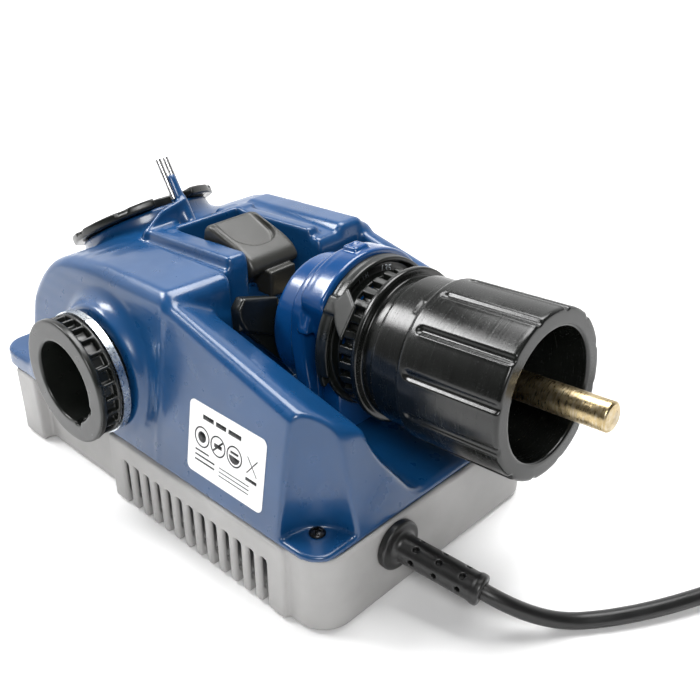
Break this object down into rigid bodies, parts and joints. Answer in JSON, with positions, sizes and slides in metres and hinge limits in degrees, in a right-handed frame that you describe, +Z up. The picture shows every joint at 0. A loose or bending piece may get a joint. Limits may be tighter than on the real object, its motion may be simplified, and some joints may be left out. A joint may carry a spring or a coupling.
{
  "type": "drill bit sharpener",
  "caption": "Bench drill bit sharpener: blue housing on a grey vented base, chuck in the alignment port, side splitting port, tilted rear sharpening port, lever and cord.",
  "frame": {"origin": "middle of the whole object's box, cord and plug included, on the plane it rests on", "axes": "+X right, +Y towards the back, +Z up; the alignment port and the cord face -Y, the splitting port and the vents face -X"},
  "size_m": [0.303, 0.394, 0.1488],
  "materials": {
    "base_grey": "fine moulded texture",
    "housing_blue": "semi-gloss, fine texture",
    "port_blue": "gloss",
    "port_black": "satin",
    "chuck_black": "gloss, turned marks",
    "lever_grey": "satin",
    "cord_black": "matte",
    "rubber_black": "matte",
    "label_white": "printed film",
    "screw_black": "black oxide",
    "steel": "ground",
    "zinc_steel": "zinc plated",
    "drill_bronze": "bronze oxide, worn",
    "inner_white": "moulded",
    "magnet": "sintered",
    "bush_bronze": "sintered",
    "copper": "enamelled",
    "diamond_grit": "grit plated",
    "board_green": "solder mask",
    "rocker_red": "gloss",
    "plug_brass": "bright"
  },
  "bodies": {
    "base": {"base_tray": "base_grey", "rubber_feet": "rubber_black", "upper_housing": "housing_blue", "housing_screws": "screw_black", "rating_label": "label_white", "split_port_tube": "port_black", "split_port_collar": "zinc_steel", "sharpen_port_tube": "port_black", "sharpen_port_nut": "zinc_steel", "follower_pins": "steel", "align_port_body": "port_blue", "align_port_screws": "steel", "claw_bracket": "port_black", "claw_bracket_screws": "steel", "lever_pin": "steel", "lever_spring": "steel", "motor_can": "zinc_steel", "motor_end_cap": "port_black", "motor_magnets": "magnet", "motor_bushes": "bush_bronze", "motor_screws": "steel", "motor_cradle": "inner_white", "rectifier_board": "board_green", "switch_housing": "port_black", "door_pin": "steel", "strain_relief": "cord_black", "power_cord": "cord_black", "mains_plug": "cord_black", "plug_pins": "plug_brass"},
    "chuck": {"chuck_body": "chuck_black", "chuck_collar": "port_black", "drill_bit": "drill_bronze", "knob_clip": "steel"},
    "knob": {"chuck_knob": "chuck_black"},
    "jaw_1": {"chuck_jaw_1": "steel"},
    "jaw_2": {"chuck_jaw_2": "steel"},
    "jaw_3": {"chuck_jaw_3": "steel"},
    "jaw_4": {"chuck_jaw_4": "steel"},
    "jaw_5": {"chuck_jaw_5": "steel"},
    "jaw_6": {"chuck_jaw_6": "steel"},
    "lever": {"align_lever": "lever_grey"},
    "claw_left": {"left_claw": "steel"},
    "claw_right": {"right_claw": "steel"},
    "scale_ring": {"angle_scale_ring": "port_black"},
    "rotor": {"motor_shaft": "steel", "rotor_core": "copper", "cooling_fan": "inner_white", "diamond_wheel": "diamond_grit", "wheel_screw": "screw_black"},
    "rocker": {"switch_rocker": "rocker_red"},
    "door": {"wheel_access_door": "base_grey"}
  },
  "joints": [
    {"name": "chuck_insert", "type": "slide", "parent": "base", "child": "chuck", "axis": [0, -0.9976, 0.0698], "range_m": [0, 0.065]},
    {"name": "knob_turn", "type": "hinge", "parent": "chuck", "child": "knob", "pos_m": [-0.0465, -0.0004, 0.0929], "axis": [0, -0.9976, 0.0698], "range_deg": [0, 90]},
    {"name": "jaw_1_slide", "type": "slide", "parent": "chuck", "child": "jaw_1", "axis": [0.866, 0.0349, 0.4988], "range_m": [0, 0.003]},
    {"name": "jaw_2_slide", "type": "slide", "parent": "chuck", "child": "jaw_2", "axis": [0, 0.0698, 0.9976], "range_m": [0, 0.003]},
    {"name": "jaw_3_slide", "type": "slide", "parent": "chuck", "child": "jaw_3", "axis": [-0.866, 0.0349, 0.4988], "range_m": [0, 0.003]},
    {"name": "jaw_4_slide", "type": "slide", "parent": "chuck", "child": "jaw_4", "axis": [-0.866, -0.0349, -0.4988], "range_m": [0, 0.003]},
    {"name": "jaw_5_slide", "type": "slide", "parent": "chuck", "child": "jaw_5", "axis": [0, -0.0698, -0.9976], "range_m": [0, 0.003]},
    {"name": "jaw_6_slide", "type": "slide", "parent": "chuck", "child": "jaw_6", "axis": [0.866, -0.0349, -0.4988], "range_m": [0, 0.003]},
    {"name": "lever_press", "type": "hinge", "parent": "base", "child": "lever", "pos_m": [-0.0555, 0.085, 0.096], "axis": [1, 0, 0], "range_deg": [0, 10], "stiffness_Nm_per_rad": 0.4},
    {"name": "claw_left_slide", "type": "slide", "parent": "base", "child": "claw_left", "axis": [-1, 0, 0], "range_m": [0, 0.005]},
    {"name": "claw_right_slide", "type": "slide", "parent": "base", "child": "claw_right", "axis": [1, 0, 0], "range_m": [0, 0.005]},
    {"name": "scale_ring_turn", "type": "hinge", "parent": "base", "child": "scale_ring", "pos_m": [-0.0465, -0.0004, 0.0929], "axis": [0, -0.9976, 0.0698], "range_deg": [-20, 20]},
    {"name": "rotor_spin", "type": "hinge", "parent": "base", "child": "rotor", "pos_m": [-0.0675, 0.1, 0.048], "axis": [1, 0, 0], "continuous": true},
    {"name": "switch_press", "type": "hinge", "parent": "base", "child": "rocker", "pos_m": [0.01313, 0.007, 0.058], "axis": [0, -1, 0], "range_deg": [0, 10]},
    {"name": "door_open", "type": "hinge", "parent": "base", "child": "door", "pos_m": [-0.0635, 0.1934, 0.0316], "axis": [1, 0, 0], "range_deg": [0, 95]}
  ],
  "couplings": [
    {"joint": "jaw_1_slide", "follows": "knob_turn", "m_per_rad": 0.0019035},
    {"joint": "jaw_2_slide", "follows": "knob_turn", "m_per_rad": 0.0019035},
    {"joint": "jaw_3_slide", "follows": "knob_turn", "m_per_rad": 0.0019035},
    {"joint": "jaw_4_slide", "follows": "knob_turn", "m_per_rad": 0.0019035},
    {"joint": "jaw_5_slide", "follows": "knob_turn", "m_per_rad": 0.0019035},
    {"joint": "jaw_6_slide", "follows": "knob_turn", "m_per_rad": 0.0019035},
    {"joint": "claw_left_slide", "follows": "lever_press", "m_per_rad": 0.028591},
    {"joint": "claw_right_slide", "follows": "lever_press", "m_per_rad": 0.028591}
  ]
}
